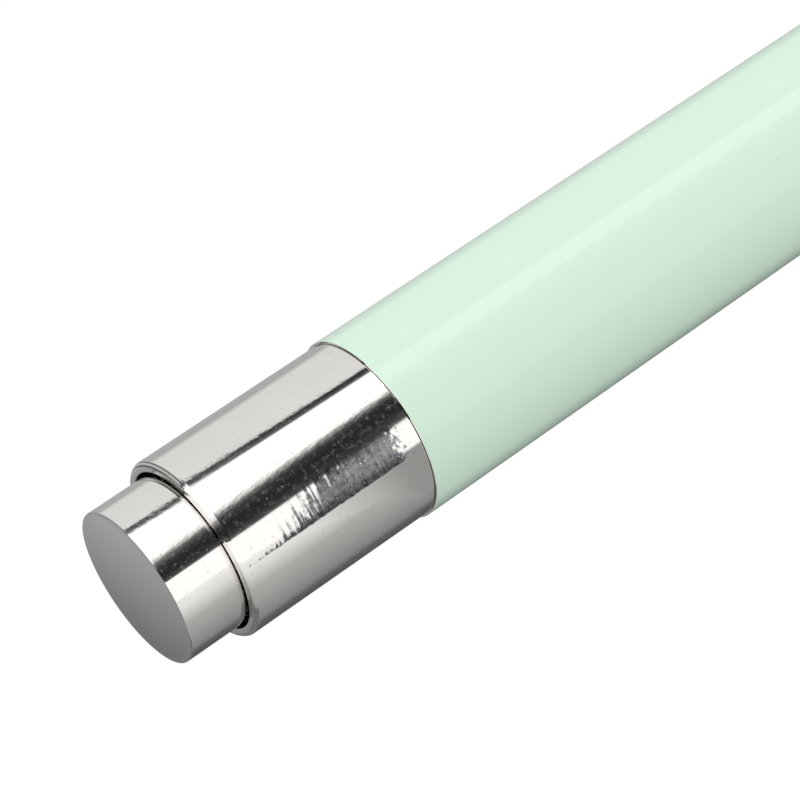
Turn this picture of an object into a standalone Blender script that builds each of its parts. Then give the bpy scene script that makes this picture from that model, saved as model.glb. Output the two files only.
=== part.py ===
"""Retractable click highlighter, lying on its side with its tail at -X and its nose at +X.

The origin is under the middle of the pen, on the surface that it lies on.
Stations are distances along the pen's axis from the button's end face.
"""

import math

import bmesh
import bpy
from mathutils import Matrix

MM = 0.001
SEGMENTS = 32                       # facets round every turned piece
HALF_FACET = math.pi / SEGMENTS

# Driving dimensions of the outside
PEN_LENGTH = 141.0 * MM
BARREL_RADIUS = 7.0 * MM
BUTTON_REACH = 0.675 * BARREL_RADIUS    # how far the button stands out of the collar
SEAM = 2.875 * BARREL_RADIUS            # station where the collar meets the barrel
COLLAR_RADIUS = 0.975 * BARREL_RADIUS
COLLAR_BORE = 0.872 * BARREL_RADIUS
BUTTON_RADIUS = 0.837 * BARREL_RADIUS
BARREL_END = 115.0 * MM
NOSE_BASE = 117.3 * MM                  # station of the shoulder of the nose
NOSE_TIP_RADIUS = 4.6 * MM

# Driving dimensions of the inside
STROKE = 4.5 * MM                       # travel of the button and of the cartridge
WALL = 0.8 * MM                         # barrel wall
GAP = 0.1 * MM                          # between faces that meet
RUN = 0.05 * MM                         # radial clearance of pieces that fit in each other
BARREL_BORE = BARREL_RADIUS - WALL
CORE_STEM = 4.2 * MM                    # radius of the plunger's stem
HOUSING_BORE = 4.9 * MM
HOUSING_FRONT = 41.0 * MM
CAM_RIBS = 4
CAM_TEETH = 8
CAM_TURN = math.radians(22.5)           # how far the rotor turns during one stroke
TUBE_RADIUS = 5.3 * MM
TUBE_BORE = 4.85 * MM
TUBE_REAR = 43.1 * MM
TUBE_FRONT = 101.0 * MM
HOLDER_RADIUS = 3.6 * MM
HOLDER_FLANGE = 102.3 * MM              # station of the flange's front face
NIB_RADIUS = 2.3 * MM
NIB_TIP = 139.4 * MM
THREAD_RADIUS = 5.7 * MM                # shank of the nose in the front bush
SPRING_SEAT = 121.0 * MM
NOSE_BORE = 4.2 * MM
MOUTH_RADIUS = 3.3 * MM


def start_clean():
    for obj in list(bpy.data.objects):
        bpy.data.objects.remove(obj, do_unlink=True)
    scene = bpy.context.scene.collection
    parts = bpy.data.collections.new("highlighter")
    helpers = bpy.data.collections.new("highlighter_cutters")
    scene.children.link(parts)
    scene.children.link(helpers)
    return parts, helpers


PARTS, HELPERS = start_clean()


# ---------------------------------------------------------------- materials

def finish(name, colour, roughness, metallic=0.0):
    """A material with the piece's colour, gloss and metal."""
    material = bpy.data.materials.new(name + "_finish")
    material.use_nodes = True
    shader = material.node_tree.nodes["Principled BSDF"]
    shader.inputs["Base Color"].default_value = (*colour, 1.0)
    shader.inputs["Roughness"].default_value = roughness
    shader.inputs["Metallic"].default_value = metallic
    return material


def mint_lacquer(name):
    return finish(name, (0.65, 0.86, 0.74), 0.2)


def chrome(name):
    return finish(name, (0.82, 0.81, 0.80), 0.12, 1.0)


def brass(name):
    return finish(name, (0.72, 0.53, 0.25), 0.3, 1.0)


def spring_steel(name):
    return finish(name, (0.6, 0.6, 0.62), 0.25, 1.0)


def white_moulding(name):
    return finish(name, (0.85, 0.85, 0.83), 0.45)


def grey_moulding(name):
    return finish(name, (0.18, 0.19, 0.2), 0.5)


def black_rubber(name):
    return finish(name, (0.03, 0.03, 0.03), 0.7)


def clear_silicone(name):
    return finish(name, (0.75, 0.78, 0.78), 0.4)


def green_felt(name):
    return finish(name, (0.25, 0.85, 0.5), 0.9)


# ---------------------------------------------------------------- frames of the moving bodies

def body_frame(name, parent=None):
    """An empty on the pen's axis whose +Z runs from the tail to the nose."""
    empty = bpy.data.objects.new(name, None)
    PARTS.objects.link(empty)
    if parent is None:
        empty.location = (0, 0, BARREL_RADIUS)
        empty.rotation_euler = (0, math.pi / 2, 0)
    else:
        empty.parent = parent
    return empty


SHELL = body_frame("shell_frame")
BUTTON = body_frame("button_frame", SHELL)
CARTRIDGE = body_frame("cartridge_frame", SHELL)
ROTOR = body_frame("rotor_frame", CARTRIDGE)
NOSE_RING = body_frame("nose_ring_frame", SHELL)
NOSE = body_frame("nose_frame", NOSE_RING)


def along(station):
    """Height in a body's frame of a station along the pen."""
    return station - PEN_LENGTH / 2


# ---------------------------------------------------------------- shapes

def add_piece(name, data, body, material):
    piece = bpy.data.objects.new(name, data)
    PARTS.objects.link(piece)
    piece.parent = body
    data.materials.append(material)
    return piece


def turned(name, body, profile, material, ring=True):
    """A turned piece. The profile lists (station, radius): down the outside from nose to
    tail and, on a ring, back up the inside. Facets lie square to the surface below."""
    rise = math.tan(HALF_FACET)
    points = [(radius, radius * rise, along(station)) for station, radius in profile]
    edges = [(i, i + 1) for i in range(len(points) - 1)]
    if ring:
        edges.append((len(points) - 1, 0))
    mesh = bpy.data.meshes.new(name)
    mesh.from_pydata(points, edges, [])
    piece = add_piece(name, mesh, body, material)
    screw = piece.modifiers.new("Turn", "SCREW")
    screw.axis = "Z"
    screw.steps = SEGMENTS
    screw.render_steps = SEGMENTS
    screw.use_merge_vertices = True
    screw.merge_threshold = 1e-6
    screw.use_smooth_shade = True
    return piece


def arc(station, radius, size, first, last, count=3):
    """Points of a rounded edge of the given size about (station, radius), in degrees.
    0 degrees points to the nose and 90 degrees points outwards."""
    angles = [math.radians(first + (last - first) * i / (count - 1)) for i in range(count)]
    return [(station + size * math.cos(a), radius + size * math.sin(a)) for a in angles]


def o_ring(name, body, station, radius, thickness):
    """A rubber ring whose middle circle has the given radius."""
    turned(name, body, arc(station, radius, thickness, 0, 315, 8), black_rubber(name))


def helper(name, bm):
    """A hidden mesh that a Boolean uses."""
    bmesh.ops.recalc_face_normals(bm, faces=bm.faces)
    mesh = bpy.data.meshes.new(name)
    bm.to_mesh(mesh)
    bm.free()
    obj = bpy.data.objects.new(name, mesh)
    HELPERS.objects.link(obj)
    obj.parent = SHELL
    obj.hide_render = True
    obj.display_type = "WIRE"
    return obj


def combine(piece, operation, other):
    boolean = piece.modifiers.new(operation.title(), "BOOLEAN")
    boolean.operation = operation
    boolean.solver = "EXACT"
    boolean.object = other


def rib_blocks(name, stations, radii, width, turn):
    """Straight ribs, evenly spaced round the axis, between two radii."""
    start, end = stations
    inner, outer = radii
    bm = bmesh.new()
    for k in range(CAM_RIBS):
        size = Matrix.Diagonal((outer - inner, width, end - start, 1))
        place = Matrix.Translation(((inner + outer) / 2, 0, along((start + end) / 2)))
        spin = Matrix.Rotation(turn + 2 * math.pi * k / CAM_RIBS, 4, "Z")
        bmesh.ops.create_cube(bm, size=1, matrix=spin @ place @ size)
    return helper(name, bm)


def tooth_notches(name, station, side):
    """V notches round a face at the station. Side is -1 where they are cut towards the tail."""
    depth = 0.8 * MM
    width = 1.85 * MM
    inner = 2.85 * MM
    outer = 5.0 * MM
    over = 0.12                                 # how far each wedge stands out of the face
    height = depth * (1 + over) / 1.5           # a unit triangle is 1.5 high
    half = width * (1 + over) / math.sqrt(3)
    tip = along(station) + side * depth
    bm = bmesh.new()
    for k in range(CAM_TEETH):
        wedge = Matrix((
            (0, 0, outer - inner, (outer + inner) / 2),
            (0, half, 0, 0),
            (side * height, 0, 0, tip - side * height),
            (0, 0, 0, 1),
        ))
        spin = Matrix.Rotation(2 * math.pi * (k + 0.5) / CAM_TEETH, 4, "Z")
        bmesh.ops.create_cone(
            bm, cap_ends=True, segments=3, radius1=1, radius2=1, depth=1, matrix=spin @ wedge
        )
    return helper(name, bm)


def slice_off(bm, point, normal):
    """Cuts away what lies on the normal's side of a plane, and closes the cut."""
    everything = bm.verts[:] + bm.edges[:] + bm.faces[:]
    cut = bmesh.ops.bisect_plane(
        bm, geom=everything, plane_co=point, plane_no=normal, clear_outer=True
    )
    rim = [item for item in cut["geom_cut"] if isinstance(item, bmesh.types.BMEdge)]
    bmesh.ops.holes_fill(bm, edges=rim)


def sliced_rod(name, body, stations, radius, planes, material):
    """A solid rod with planes cut off it."""
    start, end = (along(station) for station in stations)
    bm = bmesh.new()
    bmesh.ops.create_cone(
        bm, cap_ends=True, segments=SEGMENTS, depth=end - start,
        radius1=radius / math.cos(HALF_FACET), radius2=radius / math.cos(HALF_FACET),
        matrix=Matrix.Translation((0, 0, (start + end) / 2)) @ Matrix.Rotation(HALF_FACET, 4, "Z"),
    )
    for point, normal in planes:
        slice_off(bm, point, normal)
    bmesh.ops.recalc_face_normals(bm, faces=bm.faces)
    mesh = bpy.data.meshes.new(name)
    bm.to_mesh(mesh)
    bm.free()
    mesh.shade_smooth()
    mesh.set_sharp_from_angle(angle=math.radians(30))
    return add_piece(name, mesh, body, material)


# ---------------------------------------------------------------- tail: button, collar and click parts

def push_button():
    skin = 0.55 * MM
    end = 0.7 * MM
    edge = 0.28 * MM
    length = 10.0 * MM
    inside = BUTTON_RADIUS - skin
    rounded = arc(edge, BUTTON_RADIUS - edge, edge, 90, 180, 3)
    turned("push_button", BUTTON, [
        (end, 0), (end, inside), (length, inside), (length, BUTTON_RADIUS), *rounded, (0, 0),
    ], chrome("push_button"), ring=False)


def rear_collar():
    lip = 0.6 * MM
    rim = BUTTON_REACH
    edge = GAP
    rounded = arc(rim + lip, COLLAR_RADIUS - lip, lip, 90, 180, 4)
    turned("rear_collar", SHELL, [
        (SEAM - GAP / 2, COLLAR_RADIUS), *rounded,
        (rim, COLLAR_BORE + edge), (rim + edge, COLLAR_BORE), (SEAM - GAP / 2, COLLAR_BORE),
    ], chrome("rear_collar"))


def button_core():
    head = BUTTON_RADIUS - 0.55 * MM - 2 * RUN
    front = 24.0 * MM
    head_front = 9.4 * MM
    core = turned("button_core", BUTTON, [
        (14 * MM, 0), (14 * MM, 3 * MM), (front, 3 * MM), (front, CORE_STEM),
        (head_front, CORE_STEM), (head_front, head), (1 * MM, head), (1 * MM, 0),
    ], white_moulding("button_core"), ring=False)
    ribs = rib_blocks("core_ribs", (17.2 * MM, 22.5 * MM), (3.8 * MM, 4.72 * MM), 1.1 * MM, 0)
    combine(core, "UNION", ribs)
    combine(core, "DIFFERENCE", tooth_notches("core_notches", front, -1))


def coupling_sleeve():
    rear = 14.9 * MM
    front = 29.0 * MM
    bore = 5.45 * MM
    turned("coupling_sleeve", SHELL, [
        (front, BARREL_BORE - RUN), (SEAM + 2 * GAP, BARREL_BORE - RUN),
        (SEAM + 2 * GAP, COLLAR_BORE - RUN), (rear, COLLAR_BORE - RUN), (rear, bore), (front, bore),
    ], brass("coupling_sleeve"))


def cam_housing():
    rear = 15.2 * MM
    outside = 5.4 * MM
    collar = (29.3 * MM, 31.0 * MM)
    lip_bore = CORE_STEM + 0.2 * MM
    lip_front = 16.9 * MM
    housing = turned("cam_housing", SHELL, [
        (HOUSING_FRONT, outside), (collar[1], outside), (collar[1], BARREL_BORE - RUN),
        (collar[0], BARREL_BORE - RUN), (collar[0], outside), (rear, outside), (rear, lip_bore),
        (lip_front, lip_bore), (lip_front, HOUSING_BORE), (HOUSING_FRONT, HOUSING_BORE),
    ], grey_moulding("cam_housing"))
    between = math.pi / CAM_RIBS
    ribs = rib_blocks("housing_ribs", (24 * MM, 33 * MM), (4.4 * MM, 5.1 * MM), 2.7 * MM, between)
    combine(housing, "UNION", ribs)


def cam_rotor():
    rear = 24.4 * MM
    front = 30.5 * MM
    spigot = 20.5 * MM
    pocket = rear + 1.2 * MM
    rotor = turned("cam_rotor", ROTOR, [
        (front, 0), (front, CORE_STEM), (rear, CORE_STEM), (rear, 3 * MM), (pocket, 3 * MM),
        (pocket, 2.5 * MM), (spigot, 2.5 * MM), (spigot, 0),
    ], white_moulding("cam_rotor"), ring=False)
    ribs = rib_blocks("rotor_ribs", (25.6 * MM, 29.5 * MM), (3.6 * MM, 4.72 * MM), 1.1 * MM, -CAM_TURN / 2)
    combine(rotor, "UNION", ribs)
    combine(rotor, "DIFFERENCE", tooth_notches("rotor_notches", rear, 1))


# ---------------------------------------------------------------- barrel and front bush

def barrel():
    edge = 0.08 * MM
    rear = SEAM + GAP / 2
    turned("barrel", SHELL, [
        (BARREL_END, BARREL_RADIUS - edge), (BARREL_END - edge, BARREL_RADIUS),
        (rear + edge, BARREL_RADIUS), (rear, BARREL_RADIUS - edge), (rear, BARREL_BORE),
        (BARREL_END, BARREL_BORE),
    ], mint_lacquer("barrel"))


def front_bush():
    rear = BARREL_END - 10.3 * MM
    front = BARREL_END - GAP
    turned("front_bush", SHELL, [
        (front, BARREL_BORE - RUN), (rear, BARREL_BORE - RUN),
        (rear, THREAD_RADIUS + RUN), (front, THREAD_RADIUS + RUN),
    ], brass("front_bush"))


# ---------------------------------------------------------------- ink cartridge

def tail_plug():
    inside = TUBE_BORE - 2 * RUN
    turned("tail_plug", CARTRIDGE, [
        (47 * MM, 0), (47 * MM, inside - 0.3 * MM), (46.7 * MM, inside), (42.8 * MM, inside),
        (42.8 * MM, TUBE_RADIUS), (41.8 * MM, TUBE_RADIUS), (41.8 * MM, 3.5 * MM),
        (30.9 * MM, 3.5 * MM), (30.9 * MM, 0),
    ], grey_moulding("tail_plug"), ring=False)


def ink_tube():
    turned("ink_tube", CARTRIDGE, [
        (TUBE_FRONT, TUBE_RADIUS), (TUBE_REAR, TUBE_RADIUS), (TUBE_REAR, TUBE_BORE), (TUBE_FRONT, TUBE_BORE),
    ], white_moulding("ink_tube"))


def ink_filler():
    rear = 48 * MM
    front = 99 * MM
    radius = TUBE_BORE - 3 * RUN
    edge = 0.4 * MM
    turned("ink_filler", CARTRIDGE, [
        (front, 0), (front, radius - edge), (front - edge, radius), (rear + edge, radius),
        (rear, radius - edge), (rear, 0),
    ], green_felt("ink_filler"), ring=False)


def nib_holder():
    rear = 99.4 * MM
    front = 133.2 * MM
    groove = (126.0 * MM, 127.1 * MM)
    groove_radius = HOLDER_RADIUS - 0.4 * MM
    plug = TUBE_BORE - 2 * RUN
    flange = TUBE_RADIUS + RUN
    flange_rear = TUBE_FRONT + 0.3 * MM
    turned("nib_holder", CARTRIDGE, [
        (front, 3 * MM), (front - 2.2 * MM, HOLDER_RADIUS), (groove[1], HOLDER_RADIUS),
        (groove[1], groove_radius), (groove[0], groove_radius), (groove[0], HOLDER_RADIUS),
        (HOLDER_FLANGE, HOLDER_RADIUS), (HOLDER_FLANGE, flange), (flange_rear, flange),
        (flange_rear, plug), (rear, plug), (rear, NIB_RADIUS + GAP), (front, NIB_RADIUS + GAP),
    ], grey_moulding("nib_holder"))


def nib():
    """A felt rod with a chisel end: two flats that close on each other, and a slanted edge."""
    tip = along(NIB_TIP)
    wedge = math.radians(14.5)
    slant = math.radians(30)
    half_edge = 0.9 * MM
    flats = [
        ((0, side * half_edge, tip), (0, side * math.cos(wedge), math.sin(wedge))) for side in (1, -1)
    ]
    edge = ((NIB_RADIUS, 0, tip), (-math.sin(slant), 0, math.cos(slant)))
    sliced_rod(
        "nib", CARTRIDGE, (99.5 * MM, NIB_TIP), NIB_RADIUS, [*flats, edge], green_felt("nib")
    )


def holder_o_ring():
    o_ring("holder_o_ring", CARTRIDGE, 126.55 * MM, 3.7 * MM, 0.4 * MM)


def return_spring():
    """A wire helix that stands between the cartridge's flange and the washer in the nose."""
    wire = 0.28 * MM
    mean = 4.2 * MM
    turns = 7
    per_turn = 14
    start = along(HOLDER_FLANGE + 0.4 * MM) + wire
    length = SPRING_SEAT - HOLDER_FLANGE - 0.7 * MM - 2 * wire
    curve = bpy.data.curves.new("return_spring", "CURVE")
    curve.dimensions = "3D"
    curve.bevel_depth = wire
    curve.bevel_resolution = 2
    curve.use_fill_caps = True
    spline = curve.splines.new("POLY")
    count = turns * per_turn + 1
    spline.points.add(count - 1)
    for i, point in enumerate(spline.points):
        part = i / (count - 1)
        angle = 2 * math.pi * turns * part
        # the end turns lie close, so the pitch eases in and out
        eased = part - math.sin(2 * math.pi * part) / (2 * math.pi) * 0.7
        point.co = (mean * math.cos(angle), mean * math.sin(angle), start + length * eased, 1)
    add_piece("return_spring", curve, SHELL, spring_steel("return_spring"))


# ---------------------------------------------------------------- nose

def trim_ring():
    rear = BARREL_END + GAP
    front = NOSE_BASE - GAP
    bore = THREAD_RADIUS + GAP
    edge = 0.25 * MM
    turned("trim_ring", NOSE_RING, [
        *arc(front - edge, BARREL_RADIUS - edge, edge, 0, 90),
        *arc(rear + edge, BARREL_RADIUS - edge, edge, 90, 180), (rear, bore), (front, bore),
    ], chrome("trim_ring"))


def nose_o_ring():
    o_ring("nose_o_ring", NOSE_RING, 109.9 * MM, 5.47 * MM, 0.22 * MM)


def nose_cone():
    tip = PEN_LENGTH
    edge = 0.4 * MM
    steps = 6
    groove = (109.55 * MM, 110.25 * MM)
    shank_rear = 107.3 * MM
    shank_bore = 4.85 * MM
    seat = SPRING_SEAT + 0.8 * MM
    stop = tip - 0.5 * MM
    taper = []
    for i in range(steps + 1):
        part = 1 - i / steps
        radius = BARREL_RADIUS - (BARREL_RADIUS - NOSE_TIP_RADIUS) * part ** 1.5
        taper.append((NOSE_BASE + (tip - edge - NOSE_BASE) * part, radius))
    turned("nose_cone", NOSE, [
        *arc(tip - edge, NOSE_TIP_RADIUS - edge, edge, 0, 60), *taper,
        (NOSE_BASE, THREAD_RADIUS), (groove[1], THREAD_RADIUS), (groove[1], 5.2 * MM),
        (groove[0], 5.2 * MM), (groove[0], THREAD_RADIUS), (shank_rear, THREAD_RADIUS),
        (shank_rear, shank_bore), (seat, shank_bore), (seat, NOSE_BORE), (stop, NOSE_BORE),
        (stop, MOUTH_RADIUS), (tip, MOUTH_RADIUS),
    ], chrome("nose_cone"))


def spring_washer():
    front = SPRING_SEAT + 0.5 * MM
    outer = 4.75 * MM
    inner = 3.9 * MM
    turned("spring_washer", NOSE, [
        (front, outer), (SPRING_SEAT, outer), (SPRING_SEAT, inner), (front, inner),
    ], spring_steel("spring_washer"))


def seal_retainer():
    rear = 138.3 * MM
    front = 139.4 * MM
    outer = NOSE_BORE - 2 * RUN
    turned("seal_retainer", NOSE, [
        (front, outer), (rear, outer), (rear, MOUTH_RADIUS), (front, MOUTH_RADIUS),
    ], grey_moulding("seal_retainer"))


def seal_lips():
    """Two half discs that meet at an upright slit behind the mouth."""
    for name, side in (("lip_left", 1), ("lip_right", -1)):
        slit = ((0, side * GAP, 0), (0, -side, 0))
        sliced_rod(
            name, NOSE, (139.7 * MM, 140.3 * MM), NOSE_BORE - 2 * RUN, [slit], clear_silicone(name)
        )


for build in (
    push_button, rear_collar, button_core, coupling_sleeve, cam_housing, cam_rotor,
    barrel, front_bush, tail_plug, ink_tube, ink_filler, nib_holder, nib, holder_o_ring,
    return_spring, trim_ring, nose_o_ring, nose_cone, spring_washer, seal_retainer, seal_lips,
):
    build()
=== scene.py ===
# Retractable highlighter: chrome push button and collar, mint lacquered barrel, chrome nose.
# The pen lies along X, tail to nose. Stations are millimetres from the tail, radii are millimetres.
import math

import bmesh
import bpy
from mathutils import Matrix, Vector


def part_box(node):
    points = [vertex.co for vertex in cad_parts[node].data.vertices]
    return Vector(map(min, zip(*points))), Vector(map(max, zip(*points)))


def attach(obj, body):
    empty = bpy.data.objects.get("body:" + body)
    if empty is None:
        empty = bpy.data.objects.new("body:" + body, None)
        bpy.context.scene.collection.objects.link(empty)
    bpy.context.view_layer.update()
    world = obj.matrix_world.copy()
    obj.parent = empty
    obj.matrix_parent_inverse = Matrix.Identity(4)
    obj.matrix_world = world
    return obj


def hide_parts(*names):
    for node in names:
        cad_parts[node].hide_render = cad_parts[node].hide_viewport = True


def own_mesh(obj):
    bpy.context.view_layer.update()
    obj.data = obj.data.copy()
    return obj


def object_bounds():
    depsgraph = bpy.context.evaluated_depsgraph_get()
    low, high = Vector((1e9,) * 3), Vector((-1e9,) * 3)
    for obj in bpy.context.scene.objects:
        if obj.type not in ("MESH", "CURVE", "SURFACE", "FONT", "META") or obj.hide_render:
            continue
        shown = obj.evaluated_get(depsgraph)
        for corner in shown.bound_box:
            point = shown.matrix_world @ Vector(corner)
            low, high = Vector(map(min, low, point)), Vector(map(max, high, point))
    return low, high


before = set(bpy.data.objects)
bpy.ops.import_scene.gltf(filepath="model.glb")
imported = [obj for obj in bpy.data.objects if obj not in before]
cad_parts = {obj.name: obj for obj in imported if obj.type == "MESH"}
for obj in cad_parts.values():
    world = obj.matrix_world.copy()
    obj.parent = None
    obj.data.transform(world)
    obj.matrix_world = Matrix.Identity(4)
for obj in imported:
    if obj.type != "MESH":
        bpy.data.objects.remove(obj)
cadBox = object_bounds()
print("frame loaded with", len(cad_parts), "nodes")

mm = 0.001
outerSteps = 176      # flats round the pieces that show
innerSteps = 96       # flats round the pieces inside
tail = cadBox[0].x
toDegrees = 180 / math.pi


def at(station):
    return tail + station * mm


def stationOf(x):
    return (x - tail) / mm


def radiusOf(node):
    low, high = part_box(node)
    return (high.z - low.z) / 2 / mm


def endsOf(node):
    low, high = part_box(node)
    return stationOf(low.x), stationOf(high.x)


barrelRadius = radiusOf("barrel")
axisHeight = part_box("barrel")[0].z + barrelRadius * mm
seam = (endsOf("rear_collar")[1] + endsOf("barrel")[0]) / 2


def newObject(name, data):
    item = bpy.data.objects.new(name, data)
    bpy.context.scene.collection.objects.link(item)
    return item


# camera

cameraSetup = {
    "azimuth": -40.41,       # degrees round the pen, from behind the button
    "elevation": 52.57,
    "lens": 139.97,          # millimetres
    "sensor": 36,
    "clip": (0.01, 20),
    "reach": 30.22,          # seam to camera along the view, in barrel radii
    "seamRight": -0.2963,    # where the seam's middle sits off the view's centre, in barrel radii
    "seamUp": -0.2950,
}


def placeCamera(setup):
    az = math.radians(setup["azimuth"])
    el = math.radians(setup["elevation"])
    right = Vector((math.cos(az), math.sin(az), 0))
    back = Vector((math.sin(az) * math.cos(el), -math.cos(az) * math.cos(el), math.sin(el)))
    up = back.cross(right)
    middle = Vector((at(seam), 0, axisHeight))
    offset = right * setup["seamRight"] + up * setup["seamUp"] - back * setup["reach"]
    data = bpy.data.cameras.new("camera")
    data.lens = setup["lens"]
    data.sensor_width = setup["sensor"]
    data.clip_start, data.clip_end = setup["clip"]
    camera = newObject("camera", data)
    turn = Matrix((right, up, back)).transposed().to_4x4()
    camera.matrix_world = Matrix.Translation(middle - offset * barrelRadius * mm) @ turn
    bpy.context.scene.camera = camera


placeCamera(cameraSetup)
bpy.context.scene.view_settings.view_transform = "Standard"
print("camera placed")


# node helpers

def link(tree, start, end):
    tree.links.new(start, end)


def addNode(tree, kind, **values):
    node = tree.nodes.new(kind)
    for key, value in values.items():
        setattr(node, key, value)
    return node


def feed(tree, value, socket):
    if isinstance(value, bpy.types.NodeSocket):
        link(tree, value, socket)
    elif isinstance(value, tuple):
        socket.default_value = (*value, 1)
    elif value is not None:
        socket.default_value = value


def mathNode(tree, operation, first, second=None, third=None, clamp=False):
    node = addNode(tree, "ShaderNodeMath", operation=operation, use_clamp=clamp)
    for socket, value in zip(node.inputs, (first, second, third)):
        feed(tree, value, socket)
    return node.outputs[0]


def times(tree, first, second):
    return mathNode(tree, "MULTIPLY", first, second)


def plus(tree, first, second):
    return mathNode(tree, "ADD", first, second)


def minus(tree, first, second):
    return mathNode(tree, "SUBTRACT", first, second)


def weighted(tree, value, weight, rest):
    # value times weight, plus the rest
    return mathNode(tree, "MULTIPLY_ADD", value, weight, rest)


def centred(tree, noise):
    return plus(tree, noise, -0.5)


def aboutMiddle(tree, noise, spread, middle):
    # noise from 0 to 1 becomes a value spread about its middle
    return weighted(tree, noise, spread, middle - spread / 2)


def rising(tree, value, start, end):
    # 0 at the start, 1 at the end, held outside them; the end may come first
    slope = 1 / (end - start)
    return mathNode(tree, "MULTIPLY_ADD", value, slope, -start * slope, clamp=True)


def blend(tree, share, first, second):
    # plain values: the first at 0, the second at 1
    node = addNode(tree, "ShaderNodeMix", data_type="FLOAT")
    feed(tree, share, node.inputs[0])
    feed(tree, first, node.inputs[2])
    feed(tree, second, node.inputs[3])
    return node.outputs[0]


def blendColour(tree, share, first, second):
    node = addNode(tree, "ShaderNodeMix", data_type="RGBA")
    feed(tree, share, node.inputs[0])
    feed(tree, first, node.inputs[6])
    feed(tree, second, node.inputs[7])
    return node.outputs[2]


def ramp(tree, factor, stops):
    node = addNode(tree, "ShaderNodeValToRGB")
    elements = node.color_ramp.elements
    for position, value in stops[2:]:
        elements.new(position)
    for element, (position, value) in zip(elements, stops):
        element.position = position
    for element, (position, value) in zip(elements, stops):
        element.color = (value, value, value, 1)
    link(tree, factor, node.inputs[0])
    return node.outputs[0]


def drive(shader, title, value):
    shader.id_data.links.new(value, shader.inputs[title])


def split(tree, vector):
    node = addNode(tree, "ShaderNodeSeparateXYZ")
    feed(tree, vector, node.inputs[0])
    return node.outputs


def newGroup(name, inputs, outputs):
    tree = bpy.data.node_groups.new(name, "ShaderNodeTree")
    for title, kind, value in inputs:
        socket = tree.interface.new_socket(title, in_out="INPUT", socket_type=kind)
        if value is not None:
            socket.default_value = value
    for title, kind in outputs:
        tree.interface.new_socket(title, in_out="OUTPUT", socket_type=kind)
    return tree, tree.nodes.new("NodeGroupInput"), tree.nodes.new("NodeGroupOutput")


# studio: light boxes that run along the pen, told apart by their angle round it.
# 0 is straight up and 90 is level on the camera's side; brightness is what the metal sees.
# The slab is the dark gap between the boxes, a plane through the pen that the camera looks along.
# A start or an end is the x of a direction: 0 is square to the pen, 1 looks out past the nose.
studio = {
    "strips": [
        (-158, 0.10), (-150, 0.46), (-109, 0.46), (-98, 0.80), (-60, 0.84), (-41.5, 0.86), (-40.2, 0.04),
        (-35.6, 0.04), (-34.6, 0.12), (-32, 0.14), (-30, 1.3), (-27, 1.3), (-25.5, 4.6), (-1.5, 4.6),
        (0, 1.3), (8.5, 1.2), (11.5, 0.60), (15.5, 0.15), (20, 0.05), (28, 0.025), (36, 0.03), (42, 0.07),
        (43.8, 0.16), (45.4, 1.25), (76.5, 1.2), (79, 0.96), (86, 0.90), (96, 0.72), (109, 0.49),
        (140, 0.345), (158, 0.27), (172, 0.12),
    ],
    "slabAngle": 27.0,
    "squeeze": {"middle": -13.0, "start": 0.29, "end": 0.39, "least": -0.25, "most": 0.33,
                "inner": 25.0, "outer": 60.0},
    "shade": {"from": 72.0, "edge": 0.01, "start": 0.342, "end": 0.384, "open": 1.0, "closed": 0.34},
    "behind": {"start": 0.16, "end": 0.14},      # where the lights behind the tail take over
    "facing": (-0.33, -0.463, 0.794),            # they fan out about this direction
    "fanAngle": 30.2,
    "panelSide": -38.0,      # the grey panel lies beyond this angle
    "panelEdge": 0.004,
    "panel": [(0.0, 0.84), (0.10, 0.84), (0.17, 0.50), (0.26, 0.12), (0.34, 0.18), (0.43, 0.60),
              (0.53, 0.62), (0.62, 0.34), (0.72, 0.15), (0.84, 0.08)],
    "rimMost": 1.3,          # the rim sees no strip brighter than this
    "fall": [(0.0, 1.0), (0.55, 1.0), (0.66, 0.80), (0.77, 0.42), (0.88, 0.27), (1.0, 0.20)],
    "face": {"middle": (-0.30, 0.465, -0.80), "slopes": (-0.6, 1.2, 1.3), "level": 0.315,
             "lowest": 0.18, "highest": 0.46, "top": -0.68, "full": -0.74},
    "ahead": {"start": 0.55, "end": 0.68, "level": 0.62, "share": 0.72},      # paler beyond the nose
    "scale": 4.6,
    "soft": {"angle": -9.0, "level": 0.76, "slope": 0.45},      # what matt surfaces gather
}


def turnOf(degrees):
    # a strip's angle as a share of the whole turn
    return (degrees + 180) / 360


def plainAngle(tree, y, z, slabAngle):
    slab = math.radians(slabAngle)
    off = plus(tree, times(tree, y, -math.cos(slab)), times(tree, z, -math.sin(slab)))
    facing = plus(tree, times(tree, y, -math.sin(slab)), times(tree, z, math.cos(slab)))
    return weighted(tree, mathNode(tree, "ARCTAN2", off, facing), toDegrees, slabAngle)


def fannedAngle(tree, x, y, z, setup):
    # behind the tail the strips fan out, so that a rounded rim carries them on; tilt is 1 straight back
    facingX, facingY, facingZ = setup["facing"]
    sideways = weighted(tree, y, -1, -facingY)
    upward = plus(tree, z, facingZ)
    backward = weighted(tree, x, -1, -facingX)
    swung = mathNode(tree, "ARCTAN2", sideways, upward)
    fan = weighted(tree, swung, 2 * toDegrees, -setup["fanAngle"])
    around = mathNode(tree, "SQRT", plus(tree, times(tree, sideways, sideways), times(tree, upward, upward)))
    tilt = times(tree, mathNode(tree, "ARCTAN2", backward, around), 2 / math.pi)
    return fan, tilt


def squeezed(tree, angle, x, squeeze):
    # the strips near the middle angle widen towards the tail and narrow towards the seam
    away = plus(tree, angle, -squeeze["middle"])
    near = rising(tree, mathNode(tree, "ABSOLUTE", away), squeeze["outer"], squeeze["inner"])
    along = rising(tree, x, squeeze["start"], squeeze["end"])
    amount = blend(tree, along, squeeze["least"], squeeze["most"])
    return plus(tree, angle, times(tree, away, times(tree, near, amount)))


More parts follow.
